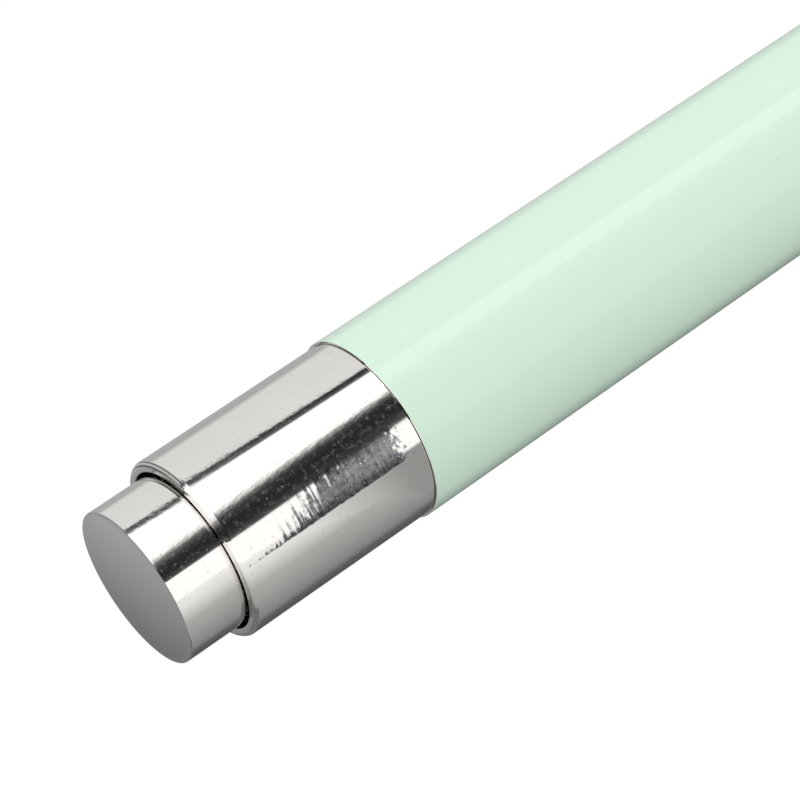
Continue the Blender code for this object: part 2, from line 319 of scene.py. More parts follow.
def stripLevel(tree, turn, x, setup):
    # the strips, with the low ones shaded towards the nose
    scale = setup["scale"]
    strips = ramp(tree, turn, [(turnOf(angle), value / scale) for angle, value in setup["strips"]])
    shade = setup["shade"]
    along = rising(tree, x, shade["start"], shade["end"])
    cover = blend(tree, along, shade["open"] / scale, shade["closed"] / scale)
    start = turnOf(shade["from"])
    low = rising(tree, turn, start, start + shade["edge"])
    return blend(tree, low, strips, mathNode(tree, "MINIMUM", strips, cover))


def rimLevel(tree, turn, tilt, strips, setup):
    # the rolled rim sees the strips fade with tilt, and a grey panel to one side
    scale = setup["scale"]
    panel = ramp(tree, tilt, [(place, value / scale) for place, value in setup["panel"]])
    fading = ramp(tree, tilt, setup["fall"])
    rim = times(tree, mathNode(tree, "MINIMUM", strips, setup["rimMost"] / scale), fading)
    side = turnOf(setup["panelSide"])
    return blend(tree, rising(tree, turn, side, side - setup["panelEdge"]), rim, panel)


def faceLevel(tree, parts, face):
    # the end face of the button sees one soft slope of light
    base = face["level"] - sum(a * b for a, b in zip(face["middle"], face["slopes"]))
    first, second, third = [times(tree, part, slope) for part, slope in zip(parts, face["slopes"])]
    glow = plus(tree, plus(tree, plus(tree, first, second), third), base)
    return mathNode(tree, "MINIMUM", mathNode(tree, "MAXIMUM", glow, face["lowest"]), face["highest"])


def studioLevel(tree, x, y, z, setup):
    # brightness by direction, as a share of the scale
    scale = setup["scale"]
    behind = rising(tree, x, setup["behind"]["start"], setup["behind"]["end"])
    fan, tilt = fannedAngle(tree, x, y, z, setup)
    angle = blend(tree, behind, plainAngle(tree, y, z, setup["slabAngle"]), fan)
    angle = squeezed(tree, angle, x, setup["squeeze"])
    turn = mathNode(tree, "FRACT", weighted(tree, angle, 1 / 360, 0.5))
    strips = stripLevel(tree, turn, x, setup)
    level = blend(tree, behind, strips, rimLevel(tree, turn, tilt, strips, setup))
    face = setup["face"]
    low = times(tree, rising(tree, z, face["top"], face["full"]), behind)
    level = blend(tree, low, level, times(tree, faceLevel(tree, (x, y, z), face), 1 / scale))
    ahead = setup["ahead"]
    share = times(tree, rising(tree, x, ahead["start"], ahead["end"]), ahead["share"])
    return blend(tree, share, level, ahead["level"] / scale)


def softLevel(tree, y, z, soft):
    lean = math.radians(soft["angle"])
    height = plus(tree, times(tree, y, -math.sin(lean)), times(tree, z, math.cos(lean)))
    return weighted(tree, height, soft["slope"], soft["level"])


def backdrop(tree, level, strength=1.0):
    node = addNode(tree, "ShaderNodeBackground")
    feed(tree, level, node.inputs[0])
    node.inputs[1].default_value = strength
    return node


def mixedLight(tree, share, first, second):
    both = addNode(tree, "ShaderNodeMixShader")
    link(tree, share, both.inputs[0])
    link(tree, first.outputs[0], both.inputs[1])
    link(tree, second.outputs[0], both.inputs[2])
    return both


def studioWorld(setup):
    # mirrors see the strips, matt surfaces gather the soft light, and the backdrop is plain white
    world = bpy.data.worlds.new("studio")
    world.use_nodes = True
    bpy.context.scene.world = world
    tree = world.node_tree
    tree.nodes.clear()
    x, y, z = split(tree, addNode(tree, "ShaderNodeTexCoord").outputs["Generated"])
    paths = addNode(tree, "ShaderNodeLightPath")
    strips = backdrop(tree, studioLevel(tree, x, y, z, setup), setup["scale"])
    soft = backdrop(tree, softLevel(tree, y, z, setup["soft"]))
    white = backdrop(tree, (1.0, 1.0, 1.0))
    lit = mixedLight(tree, paths.outputs["Is Diffuse Ray"], strips, soft)
    seen = mixedLight(tree, paths.outputs["Is Camera Ray"], lit, white)
    link(tree, seen.outputs[0], addNode(tree, "ShaderNodeOutputWorld").inputs[0])
    world.cycles.sampling_method = "NONE"


floorLook = {"size": 3.0, "glow": 0.96, "paint": 0.08, "roughness": 0.9, "drop": 0.02}


def layFloor(look):
    half = look["size"] / 2
    mesh = bpy.data.meshes.new("floor")
    corners = [(-half, -half, 0), (half, -half, 0), (half, half, 0), (-half, half, 0)]
    mesh.from_pydata(corners, [], [(0, 1, 2, 3)])
    floor = newObject("floor", mesh)
    floor.location.z = cadBox[0].z - look["drop"] * mm
    floor.visible_glossy = False
    floor.visible_diffuse = False
    material, tree, shader = newMaterial("paleFloor", look["roughness"])
    shader.inputs["Base Color"].default_value = (look["paint"],) * 3 + (1,)
    shader.inputs["Specular IOR Level"].default_value = 0.0
    shader.inputs["Emission Color"].default_value = (1, 1, 1, 1)
    shader.inputs["Emission Strength"].default_value = look["glow"]
    mesh.materials.append(material)


def newMaterial(name, roughness, metallic=0.0):
    material = bpy.data.materials.new(name)
    material.use_nodes = True
    tree = material.node_tree
    shader = tree.nodes["Principled BSDF"]
    shader.inputs["Roughness"].default_value = roughness
    shader.inputs["Metallic"].default_value = metallic
    return material, tree, shader


studioWorld(studio)
layFloor(floorLook)
print("studio lit")


# shared surface effects

def objectPlace(tree):
    return addNode(tree, "ShaderNodeTexCoord").outputs["Object"]


def penSpaceGroup():
    # millimetres along the pen and round it, the station, and the angle round it in degrees
    outputs = [("Place", "NodeSocketVector"), ("Station", "NodeSocketFloat"), ("Angle", "NodeSocketFloat")]
    tree, _, out = newGroup("penSpace", [], outputs)
    x, y, z = split(tree, objectPlace(tree))
    angle = mathNode(tree, "ARCTAN2", times(tree, y, -1), minus(tree, z, axisHeight))
    station = times(tree, minus(tree, x, tail), 1 / mm)
    joined = addNode(tree, "ShaderNodeCombineXYZ")
    link(tree, station, joined.inputs[0])
    link(tree, times(tree, angle, barrelRadius), joined.inputs[1])
    link(tree, joined.outputs[0], out.inputs["Place"])
    link(tree, station, out.inputs["Station"])
    link(tree, times(tree, angle, toDegrees), out.inputs["Angle"])
    return tree


def noiseValue(tree, place, scale, detail=3.0):
    node = addNode(tree, "ShaderNodeTexNoise")
    node.inputs["Scale"].default_value = scale
    node.inputs["Detail"].default_value = detail
    link(tree, place, node.inputs["Vector"])
    return node.outputs["Fac"]


def stretched(tree, place, along, across):
    x, y, z = split(tree, place)
    joined = addNode(tree, "ShaderNodeCombineXYZ")
    link(tree, times(tree, x, along), joined.inputs[0])
    link(tree, times(tree, y, across), joined.inputs[1])
    return joined.outputs[0]


def scratchGroup():
    # hairlines: noise stretched along one way and cut to thin lines
    inputs = [("Place", "NodeSocketVector", None), ("Along", "NodeSocketFloat", 1.0),
              ("Across", "NodeSocketFloat", 12.0), ("Width", "NodeSocketFloat", 0.02)]
    tree, given, out = newGroup("scratches", inputs, [("Lines", "NodeSocketFloat")])
    run = stretched(tree, given.outputs["Place"], given.outputs["Along"], given.outputs["Across"])
    off = mathNode(tree, "ABSOLUTE", centred(tree, noiseValue(tree, run, 1.0)))
    thin = mathNode(tree, "DIVIDE", off, given.outputs["Width"], clamp=True)
    link(tree, minus(tree, 1.0, thin), out.inputs["Lines"])
    return tree


def speckGroup():
    # small scattered grains, from 0 between them to 1 in their middle; sharpness sets how small
    sharpness = 2.4
    inputs = [("Place", "NodeSocketVector", None), ("Fineness", "NodeSocketFloat", 6.0),
              ("Share", "NodeSocketFloat", 0.3)]
    tree, given, out = newGroup("specks", inputs, [("Grains", "NodeSocketFloat")])
    cells = addNode(tree, "ShaderNodeTexVoronoi", feature="F1")
    link(tree, given.outputs["Place"], cells.inputs["Vector"])
    link(tree, given.outputs["Fineness"], cells.inputs["Scale"])
    near = mathNode(tree, "MULTIPLY_ADD", cells.outputs["Distance"], -sharpness, 1.0, clamp=True)
    pick = addNode(tree, "ShaderNodeSeparateColor")
    link(tree, cells.outputs["Color"], pick.inputs[0])
    kept = mathNode(tree, "LESS_THAN", pick.outputs[0], given.outputs["Share"])
    link(tree, times(tree, near, kept), out.inputs["Grains"])
    return tree


penSpace = penSpaceGroup()
scratches = scratchGroup()
specks = speckGroup()


def placeGroup(tree, group, **values):
    node = addNode(tree, "ShaderNodeGroup", node_tree=group)
    for title, value in values.items():
        feed(tree, value, node.inputs[title])
    return node


def effect(tree, group, place, values):
    return placeGroup(tree, group, Place=place, **values).outputs[0]


def bumpFrom(tree, shader, height, depth, strength=1.0):
    bump = addNode(tree, "ShaderNodeBump")
    bump.inputs["Strength"].default_value = strength
    bump.inputs["Distance"].default_value = depth
    link(tree, height, bump.inputs["Height"])
    drive(shader, "Normal", bump.outputs[0])


print("surface effects ready")


# finishes: scales are per millimetre, but per metre in the plain finishes

chromeLook = {
    "colour": (0.865, 0.848, 0.82),
    "dull": (0.80, 0.778, 0.748),
    "cloud": 0.35,           # scale of the duller patches
    "gloss": 0.012,          # roughness of clean plate
    "haze": 0.02,            # roughness that handling adds
    "lines": {"Along": 0.25, "Across": 9.0, "Width": 0.015},
    "lineHaze": 0.02,
    "dust": 0.24,            # how much of the mirror a grain of dust hides
    "dustColour": (0.66, 0.65, 0.64),
    "grains": {"Fineness": 3.0, "Share": 0.2},
    "grainHides": 0.8,
    "film": {"scale": 2.4, "bare": 0.52, "full": 0.80, "hides": 0.45},
    "smears": [(-5.5, 5.0), (20.0, 5.0)],      # angle and half width of wiped streaks along the pen
    "smearCore": 0.3,        # share of the half width that is fully smeared
    "smearFine": 4.5,
    "smearHaze": 0.10,
    "smearDepth": 0.006 * mm,
    "fineHeight": 0.15,
    "wiped": (1.3, 3.2),     # scales along and across
    "ripple": 1.2,
    "rippleHeight": 0.04,
}

# painted reflection: a dark patch on the collar beside the seam, with painted glints and a painted
# highlight, coloured into the plate, plus a little added roughness
paintedReflectionLook = {
    "angles": (34.0, 55.8),            # round the pen
    "upperEdge": 1.5, "upperRag": 5.0, "lowerEdge": 0.4, "lowerRag": 1.6,
    "seamGap": 1.5,                    # clean strip left beside the seam
    "seamEdge": (0.25, 0.4), "seamRag": 4.0,
    "tailStart": 7.6, "tailSlant": 0.16,      # how far the scuff runs from the seam, and per degree
    "tailTaper": 2.8, "taperAngle": 4.0,
    "tailEdge": (-0.9, 1.1), "tailRag": 5.0, "tailStreaks": 13.0,
    "rag": 2.6, "streaks": (3.6, 0.30),
    "brightest": 44.0, "spread": 14.0, "dark": 0.055, "light": 0.32,
    "middleShare": 0.5, "seamBrighteningShare": 0.22, "seamBrightening": (7.0, 1.0),      # brighter towards the seam
    "mottle": 2.4, "mottleShare": 1.3,
    "fineMottle": 9.0, "fineMottleShare": 1.0,
    "strokes": (5.0, 0.5), "strokeShare": 1.0,
    "spots": {"Fineness": 3.6, "Share": 0.35}, "crumbShare": 0.35,
    "glints": {"Fineness": 2.4, "Share": 0.55}, "glintEdge": (0.66, 0.9), "glint": 0.75,
    "haze": 0.11, "tint": (0.955, 0.97, 1.0),
}


def smearMask(tree, angle, look):
    total = None
    for middle, width in look["smears"]:
        off = mathNode(tree, "ABSOLUTE", minus(tree, angle, middle))
        mask = rising(tree, off, width, width * look["smearCore"])
        total = mask if total is None else plus(tree, total, mask)
    return total


def paintedReflectionMask(tree, space, reflectionPatch):
    # painted reflection patch beside the seam: ragged at the seam, straight below, streaked out towards the
    # tail
    place = space.outputs["Place"]
    angle = space.outputs["Angle"]
    back = minus(tree, seam, space.outputs["Station"])
    first, last = reflectionPatch["angles"]
    rag = centred(tree, noiseValue(tree, place, reflectionPatch["rag"], detail=4.0))
    streaks = centred(tree, noiseValue(tree, stretched(tree, place, *reflectionPatch["streaks"]), 1.0))
    upperAngle = weighted(tree, rag, reflectionPatch["upperRag"], angle)
    upper = rising(tree, upperAngle, first - reflectionPatch["upperEdge"], first + reflectionPatch["upperEdge"])
    lowerAngle = weighted(tree, rag, reflectionPatch["lowerRag"], angle)
    lower = rising(tree, lowerAngle, last + reflectionPatch["lowerEdge"], last - reflectionPatch["lowerEdge"])
    slant = times(tree, minus(tree, angle, first), reflectionPatch["tailSlant"])
    wedge = times(tree, rising(tree, angle, last - reflectionPatch["taperAngle"], last), reflectionPatch["tailTaper"])
    reach = plus(tree, plus(tree, slant, wedge), reflectionPatch["tailStart"])
    short = minus(tree, reach, back)
    short = weighted(tree, streaks, reflectionPatch["tailStreaks"], short)
    short = weighted(tree, rag, reflectionPatch["tailRag"], short)
    fromTail = rising(tree, short, *reflectionPatch["tailEdge"])
    gap = weighted(tree, rag, reflectionPatch["seamRag"], back)
    inner, outer = reflectionPatch["seamEdge"]
    fromSeam = rising(tree, gap, reflectionPatch["seamGap"] - inner, reflectionPatch["seamGap"] + outer)
    return times(tree, times(tree, upper, lower), times(tree, fromTail, fromSeam))


def paintedReflectionColour(tree, space, reflectionPatch):
    # painted reflection on the metal: a painted highlight along its middle, mottled, with painted glints and
    # fine cross strokes
    place = space.outputs["Place"]
    off = mathNode(tree, "ABSOLUTE", plus(tree, space.outputs["Angle"], -reflectionPatch["brightest"]))
    nearMiddle = rising(tree, off, reflectionPatch["spread"], 0.0)
    mottle = centred(tree, noiseValue(tree, place, reflectionPatch["mottle"], detail=4.0))
    fineMottle = centred(tree, noiseValue(tree, place, reflectionPatch["fineMottle"]))
    strokes = centred(tree, noiseValue(tree, stretched(tree, place, *reflectionPatch["strokes"]), 1.0))
    spots = effect(tree, specks, place, reflectionPatch["spots"])
    glints = effect(tree, specks, place, reflectionPatch["glints"])
    # painted highlight: the patch's colour brightens towards the seam
    far, close = reflectionPatch["seamBrightening"]
    seamBrightening = rising(tree, space.outputs["Station"], seam - far, seam - close)
    share = times(tree, nearMiddle, reflectionPatch["middleShare"])
    share = weighted(tree, seamBrightening, reflectionPatch["seamBrighteningShare"], share)
    for part, name in ((mottle, "mottle"), (fineMottle, "fineMottle"), (strokes, "stroke"), (spots, "crumb")):
        share = weighted(tree, part, reflectionPatch[name + "Share"], share)
    share = mathNode(tree, "MAXIMUM", share, 0.0)
    tone = weighted(tree, share, reflectionPatch["light"] - reflectionPatch["dark"], reflectionPatch["dark"])
    # painted glints: bright grains laid into the colour
    bright = rising(tree, glints, *reflectionPatch["glintEdge"])
    tone = mathNode(tree, "MULTIPLY_ADD", bright, reflectionPatch["glint"], tone, clamp=True)
    return blendColour(tree, tone, (0.0, 0.0, 0.0), reflectionPatch["tint"])


def chromeMaterial(name, look, reflectionPatch=None):
    # bright plate with hairlines, dust and wiped streaks, and a painted reflection patch where one is given
    material, tree, shader = newMaterial(name, look["gloss"], 1.0)
    space = placeGroup(tree, penSpace)
    place = space.outputs["Place"]
    cloud = noiseValue(tree, place, look["cloud"])
    fine = noiseValue(tree, place, look["smearFine"])
    lines = effect(tree, scratches, place, look["lines"])
    grains = effect(tree, specks, place, look["grains"])
    wiped = noiseValue(tree, stretched(tree, place, *look["wiped"]), 1.0, detail=4.0)
    smear = smearMask(tree, space.outputs["Angle"], look)
    colour = blendColour(tree, cloud, look["colour"], look["dull"])
    rough = weighted(tree, cloud, look["haze"], look["gloss"])
    rough = weighted(tree, lines, look["lineHaze"], rough)
    rough = weighted(tree, times(tree, smear, fine), look["smearHaze"], rough)
    film = look["film"]
    dusty = rising(tree, noiseValue(tree, place, film["scale"], detail=4.0), film["bare"], film["full"])
    dust = plus(tree, times(tree, grains, look["grainHides"]), times(tree, dusty, film["hides"]))
    mirror = minus(tree, 1.0, times(tree, dust, look["dust"]))
    colour = blendColour(tree, grains, colour, look["dustColour"])
    if reflectionPatch:
        # the painted reflection is laid over the plate colour, and adds a little roughness
        patch = paintedReflectionMask(tree, space, reflectionPatch)
        colour = blendColour(tree, patch, colour, paintedReflectionColour(tree, space, reflectionPatch))
        rough = weighted(tree, patch, reflectionPatch["haze"], rough)
    drive(shader, "Base Color", colour)
    drive(shader, "Roughness", rough)
    drive(shader, "Metallic", mirror)
    ripple = times(tree, noiseValue(tree, place, look["ripple"], detail=2.0), look["rippleHeight"])
    streak = plus(tree, wiped, times(tree, fine, look["fineHeight"]))
    bumpFrom(tree, shader, plus(tree, ripple, times(tree, smear, streak)), look["smearDepth"])
    return material


# plain finishes: a cloudy colour, and a grain in the gloss and the bump, each with scale and detail
satinLook = {
    "colour": (0.83, 0.815, 0.795),
    "dull": (0.79, 0.775, 0.755),
    "gloss": 0.12,
    "cloud": (300.0, 3.0), "grain": (7000.0, 2.0), "glossSpread": 0.06, "depth": 0.0004 * mm, "bump": 0.6,
}
mouldedLook = {
    "darker": 0.86,
    "cloud": (220.0, 3.0), "grain": (5200.0, 3.0), "glossSpread": 0.16, "depth": 0.003 * mm, "bump": 0.7,
}
rubberLook = {
    "paler": 1.25, "white": 0.02,
    "cloud": (700.0, 4.0), "grain": (700.0, 4.0), "glossSpread": 0.2, "depth": 0.004 * mm, "bump": 0.5,
}


def grainyMaterial(name, look, colour, other, gloss, metallic=0.0):
    material, tree, shader = newMaterial(name, gloss, metallic)
    place = objectPlace(tree)
    cloud = noiseValue(tree, place, *look["cloud"])
    grain = noiseValue(tree, place, *look["grain"])
    drive(shader, "Base Color", blendColour(tree, cloud, colour, other))
    drive(shader, "Roughness", aboutMiddle(tree, grain, look["glossSpread"], gloss))
    bumpFrom(tree, shader, grain, look["depth"], look["bump"])
    return material


def satinChromeMaterial(name, look):
    # the end face of the button: fine blasted plate
    return grainyMaterial(name, look, look["colour"], look["dull"], look["gloss"], 1.0)


def mouldedMaterial(name, colour, gloss):
    # injection moulded plastic with a fine spark grain
    darker = tuple(channel * mouldedLook["darker"] for channel in colour)
    return grainyMaterial(name, mouldedLook, colour, darker, gloss)


def rubberMaterial(name, colour, gloss):
    # cast rubber with a faint bloom
    paler = tuple(min(1.0, channel * rubberLook["paler"] + rubberLook["white"]) for channel in colour)
    return grainyMaterial(name, rubberLook, colour, paler, gloss)


lacquerLook = {
    "colour": (0.675, 0.872, 0.724),
    "deep": (0.655, 0.852, 0.704),
    "mottle": 0.5,
    "gloss": 0.035,
    "glossSpread": 0.02,
    "shine": 0.14,
    "edgeShine": 2.2,              # more shine where the surface turns away
    "edge": (0.62, 0.92),          # from here to here, where 1 is edge on
    "peel": 2.2,
    "peelDepth": 0.0009 * mm,
    "lines": {"Along": 0.2, "Across": 6.0, "Width": 0.012},
    "lineHaze": 0.03,
    "lineHeight": -0.2,
    "dust": {"Fineness": 1.1, "Share": 0.02},
    "dustEdge": (0.8, 1.0),
    "specks": (0.42, 0.52, 0.46),
}


def lacquerMaterial(name, look):
    # stoved mint lacquer: a faint mottle, orange peel, hairlines and stray dust
    material, tree, shader = newMaterial(name, look["gloss"])
    facing = addNode(tree, "ShaderNodeLayerWeight").outputs["Facing"]
    grazing = rising(tree, facing, *look["edge"])
    drive(shader, "Specular IOR Level", weighted(tree, grazing, look["edgeShine"], look["shine"]))
    place = placeGroup(tree, penSpace).outputs["Place"]
    mottle = noiseValue(tree, place, look["mottle"], detail=4.0)
    colour = blendColour(tree, mottle, look["colour"], look["deep"])
    dust = effect(tree, specks, place, look["dust"])
    colour = blendColour(tree, rising(tree, dust, *look["dustEdge"]), colour, look["specks"])
    drive(shader, "Base Color", colour)
    lines = effect(tree, scratches, place, look["lines"])
    rough = aboutMiddle(tree, mottle, look["glossSpread"], look["gloss"])
    drive(shader, "Roughness", weighted(tree, lines, look["lineHaze"], rough))
    peel = noiseValue(tree, place, look["peel"], detail=2.0)
    bumpFrom(tree, shader, weighted(tree, lines, look["lineHeight"], peel), look["peelDepth"])
    return material


machinedLook = {"marks": {"Along": 14.0, "Across": 0.15, "Width": 0.12}, "cloud": 0.6, "darker": 0.8,
                "markHaze": 0.12, "depth": 0.002 * mm, "bump": 0.6}


def machinedMaterial(name, colour, gloss, look=machinedLook):
    # turned metal: tool marks run round the axis
    material, tree, shader = newMaterial(name, gloss, 1.0)
    place = placeGroup(tree, penSpace).outputs["Place"]
    marks = effect(tree, scratches, place, look["marks"])
    cloud = noiseValue(tree, place, look["cloud"])
    darker = tuple(channel * look["darker"] for channel in colour)
    drive(shader, "Base Color", blendColour(tree, cloud, colour, darker))
    drive(shader, "Roughness", weighted(tree, marks, look["markHaze"], gloss))
    bumpFrom(tree, shader, marks, look["depth"], look["bump"])
    return material


feltLook = {"roughness": 0.92, "fibres": {"Along": 1.2, "Across": 16.0, "Width": 0.16}, "fibreShare": 0.5,
            "paler": 0.55, "white": 0.4, "stain": 0.8, "stainShare": 0.6, "deeper": 0.8,
            "depth": 0.02 * mm, "bump": 0.8}


def feltMaterial(name, colour, look=feltLook):
    # bonded fibres that run along the rod, stained by the ink
    material, tree, shader = newMaterial(name, look["roughness"])
    place = placeGroup(tree, penSpace).outputs["Place"]
    fibres = effect(tree, scratches, place, look["fibres"])
    stain = noiseValue(tree, place, look["stain"])
    paler = tuple(look["paler"] * channel + look["white"] for channel in colour)
    deeper = tuple(channel * look["deeper"] for channel in colour)
    shade = blendColour(tree, times(tree, fibres, look["fibreShare"]), colour, paler)
    shade = blendColour(tree, times(tree, stain, look["stainShare"]), shade, deeper)
    drive(shader, "Base Color", shade)
    bumpFrom(tree, shader, fibres, look["depth"], look["bump"])
    return material


finishes = {
    "plate": chromeMaterial("brightPlate", chromeLook),
    "plateWithPaintedReflection": chromeMaterial("plateWithPaintedReflection", chromeLook, paintedReflectionLook),
    "buttonEnd": satinChromeMaterial("buttonEndPlate", satinLook),
    "lacquer": lacquerMaterial("mintLacquer", lacquerLook),
    "white": mouldedMaterial("whiteMoulding", (0.85, 0.85, 0.82), 0.42),
    "grey": mouldedMaterial("greyMoulding", (0.17, 0.18, 0.19), 0.45),
    "tube": mouldedMaterial("naturalTube", (0.78, 0.80, 0.77), 0.28),
    "brass": machinedMaterial("turnedBrass", (0.74, 0.55, 0.27), 0.24),
    "steel": machinedMaterial("springSteel", (0.58, 0.58, 0.60), 0.22),
    "felt": feltMaterial("inkedFelt", (0.16, 0.80, 0.42)),
    "rubber": rubberMaterial("sealRubber", (0.025, 0.025, 0.027), 0.6),
    "silicone": rubberMaterial("lipSilicone", (0.66, 0.70, 0.69), 0.4),
}
print("finishes mixed:", len(finishes))


# turned shapes

def rounded(corners, closed=True, steps=6):
    # (station, radius, rounding) corners to (station, radius) points, with a support point beside each arc
    points = []
    support = 1.15           # how far out the support point stands, as a share of the arc's reach
    arcMost, supportMost = 0.49, 0.495      # shares of a side that they may take
    count = len(corners)
    for i, (station, radius, size) in enumerate(corners):
        here = Vector((station, radius))
        if size <= 0 or (not closed and i in (0, count - 1)):
            points.append(here)
            continue
        before = Vector(corners[i - 1][:2]) - here
        after = Vector(corners[(i + 1) % count][:2]) - here
        half = before.angle(after) / 2
        reach = min(size / math.tan(half), arcMost * before.length, arcMost * after.length)
        size = reach * math.tan(half)
        middle = here + (before.normalized() + after.normalized()).normalized() * (size / math.sin(half))
        first = here + before.normalized() * reach - middle
        last = here + after.normalized() * reach - middle
        sweep = first.angle_signed(last)
        points.append(here + before.normalized() * min(reach * support, supportMost * before.length))
        for k in range(steps + 1):
            points.append(middle + Matrix.Rotation(-sweep * k / steps, 2) @ first)
        points.append(here + after.normalized() * min(reach * support, supportMost * after.length))
    return points


def ringPoint(station, radius, angle):
    height = axisHeight + radius * mm * math.cos(angle)
    return Vector((at(station), radius * mm * math.sin(angle), height))


def joinRings(bm, rings, closed):
    steps = len(rings[0])
    pairs = list(zip(rings, rings[1:]))
    if closed:
        pairs.append((rings[-1], rings[0]))
    for first, second in pairs:
        for k in range(steps):
            n = (k + 1) % steps
            around = []
            for vert in (first[k], first[n], second[n], second[k]):
                if vert not in around:
                    around.append(vert)
            if len(around) > 2:
                bm.faces.new(around)


def meshFrom(name, bm):
    bmesh.ops.recalc_face_normals(bm, faces=bm.faces)
    mesh = bpy.data.meshes.new(name)
    bm.to_mesh(mesh)
    bm.free()
    return mesh


def spun(points, closed, steps):
    bm = bmesh.new()
    rings = []
    for station, radius in points:
        if radius < 1e-4:
            rings.append([bm.verts.new(ringPoint(station, 0, 0))] * steps)
        else:
            turns = [2 * math.pi * k / steps for k in range(steps)]
            rings.append([bm.verts.new(ringPoint(station, radius, turn)) for turn in turns])
    joinRings(bm, rings, closed)
    return bm


def finishPiece(name, mesh, finish, body, node, sharp=32):
    mesh.shade_smooth()
    mesh.set_sharp_from_angle(angle=math.radians(sharp))
    piece = newObject(name, mesh)
    mesh.materials.append(finishes[finish])
    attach(piece, body)
    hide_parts(node)
    return piece


def turned(name, node, body, finish, corners, closed=True, steps=outerSteps):
    bm = spun(rounded(corners, closed), closed, steps)
    return finishPiece(name, meshFrom(name, bm), finish, body, node)


def tube(name, node, body, finish, outside, bore, edge, boreEdge, steps=innerSteps):
    rear, front = endsOf(node)
    turned(name, node, body, finish, [
        (front, outside, edge), (rear, outside, edge), (rear, bore, boreEdge), (front, bore, boreEdge),
    ], steps=steps)


# tail

buttonLook = {
    "edge": 0.28, "shoulder": 1.02, "crown": 0.15, "wall": 0.55, "end": 0.85, "face": 0.97, "rings": 14,
    "satin": (-0.93, 0.1),      # the end face: how squarely it faces back, and its reach
}


def makeButton(look):
    rear, front = endsOf("push_button")
    outside = radiusOf("push_button")
    inside = outside - look["wall"]
    rings = look["rings"]
    face = outside * look["face"]
    crown = [(rear + look["crown"] * (i / rings) ** 2, face * i / rings, 0) for i in range(rings + 1)]
    corners = [
        (rear + look["end"], 0, 0), (rear + look["end"], inside, 0.2), (front, inside, 0.1),
        (front, outside, 0.1), (rear + look["crown"] * look["shoulder"], outside, look["edge"]),
        *reversed(crown),
    ]
    button = turned("push_button_cap", "push_button", "button", "plate", corners, closed=False)
    button.data.materials.append(finishes["buttonEnd"])
    facing, past = look["satin"]
    for part in button.data.polygons:
        if part.normal.x < facing and stationOf(part.center.x) < rear + look["crown"] + past:
            part.material_index = 1


collarLook = {"lip": 0.6, "innerLip": 0.08, "wall": 0.72, "seamEdge": 0.03, "seamFill": 0.035}


def makeCollar(look):
    rear, front = endsOf("rear_collar")
    front += look["seamFill"]
    outside = radiusOf("rear_collar")
    inside = outside - look["wall"]
    turned("tail_collar", "rear_collar", "shell", "plateWithPaintedReflection", [
        (front, outside, look["seamEdge"]), (rear, outside, look["lip"]),
        (rear, inside, look["innerLip"]), (front, inside, look["seamEdge"]),
    ])


makeButton(buttonLook)
makeCollar(collarLook)
print("tail made")


# barrel, sleeve and front bush

barrelLook = {"bore": 6.2, "seamEdge": 0.03, "frontEdge": 0.12, "boreEdge": 0.1, "seamFill": 0.035}
bareMetal = {"square": 0.9, "margin": 0.05}      # cut ends and the bore are plate, not lacquer


def makeBarrel(look):
    rear, front = endsOf("barrel")
    rear -= look["seamFill"]
    barrel = turned("mint_barrel", "barrel", "shell", "lacquer", [
        (front, barrelRadius, look["frontEdge"]), (rear, barrelRadius, look["seamEdge"]),
        (rear, look["bore"], look["seamEdge"]), (front, look["bore"], look["boreEdge"]),
    ])
    barrel.data.materials.append(finishes["plate"])
    for part in barrel.data.polygons:
        cutEnd = abs(part.normal.x) > bareMetal["square"]
        radius = math.hypot(part.center.y, part.center.z - axisHeight) / mm
        if cutEnd or radius < look["bore"] + bareMetal["margin"]:
            part.material_index = 1


sleeveLook = {"bore": 5.45, "step": 0.1, "stepPast": 0.2}      # slimmer up to just past the seam

bushLook = {
    "bore": 5.75,
    "plain": 0.6,            # unthreaded length at each end
    # (back, share of the depth) points of one ridge
    "thread": {"pitch": 0.8, "depth": 0.12, "profile": [(0, 0), (0.22, 0), (0.4, 1), (0.58, 1)]},
}


def makeSleeve(look):
    rear, front = endsOf("coupling_sleeve")
    wide = radiusOf("coupling_sleeve")
    narrow = wide - look["step"]
    step = seam + look["stepPast"]
    turned("coupling_sleeve_turned", "coupling_sleeve", "shell", "brass", [
        (front, wide, 0.15), (step, wide, 0.02), (step, narrow, 0.02), (rear, narrow, 0.15),
        (rear, look["bore"], 0.1), (front, look["bore"], 0.1),
    ], steps=innerSteps)


def makeBush(look):
    rear, front = endsOf("front_bush")
    outside = radiusOf("front_bush")
    bore = look["bore"]
    top = front - look["plain"]
    count = int((top - (rear + look["plain"])) / look["thread"]["pitch"])
    turned("front_bush_turned", "front_bush", "shell", "brass", [
        *threadCorners(top, count, bore, look["thread"]), (rear, bore, 0.1), (rear, outside, 0.15),
        (front, outside, 0.1), (front, bore, 0.1),
    ], steps=innerSteps)


def threadCorners(front, count, crest, thread):
    # turned ridges that stand for the thread, from the front back
    corners = []
    for k in range(count):
        ridge = front - thread["pitch"] * k
        for back, share in thread["profile"]:
            corners.append((ridge - back, crest + share * thread["depth"], 0))
    return corners


makeBarrel(barrelLook)
makeSleeve(sleeveLook)
makeBush(bushLook)
print("barrel made")


# ink cartridge

